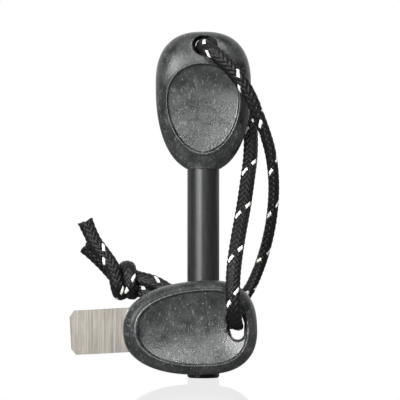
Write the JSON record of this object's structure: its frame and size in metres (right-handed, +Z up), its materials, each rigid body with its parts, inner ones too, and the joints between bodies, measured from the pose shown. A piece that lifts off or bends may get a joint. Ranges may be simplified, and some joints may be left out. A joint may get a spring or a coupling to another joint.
{
  "type": "ferro rod fire starter",
  "caption": "Standing ferro rod in a pebble-shaped speckled grip, with a flat steel scraper in a matching dished grip, tied on by a braided cord.",
  "frame": {"origin": "centre of the rod's bare end, which the object stands on", "axes": "+Z up the rod to the top of the handle grip, +X to the right seen from the front, +Y away from the viewer"},
  "size_m": [0.062, 0.0409, 0.1026],
  "materials": {
    "grip_plastic": "matte dark charcoal with fine pale fibres and specks",
    "fire_steel": "satin black coating over ferrocerium",
    "blade_steel": "brushed along its short side, warm grey",
    "cord": "black braid with pale tracer flecks"
  },
  "bodies": {
    "fire_rod": {"handle_grip": "grip_plastic", "ferro_rod": "fire_steel"},
    "lanyard": {"lanyard_loop": "cord", "lanyard_knot": "cord", "lanyard_tail_upper": "cord", "lanyard_tail_lower": "cord"},
    "striker": {"striker_grip": "grip_plastic", "striker_blade": "blade_steel"}
  },
  "joints": [
    {"name": "lanyard_swing", "type": "hinge", "parent": "fire_rod", "child": "lanyard", "pos_m": [-0.0003, 0, 0.0984], "axis": [0, -1, 0], "range_deg": [0, 90]},
    {"name": "striker_swing", "type": "hinge", "parent": "lanyard", "child": "striker", "pos_m": [0.0097, -0.00995, 0.0162], "axis": [0, -1, 0], "range_deg": [-40, 80]}
  ]
}
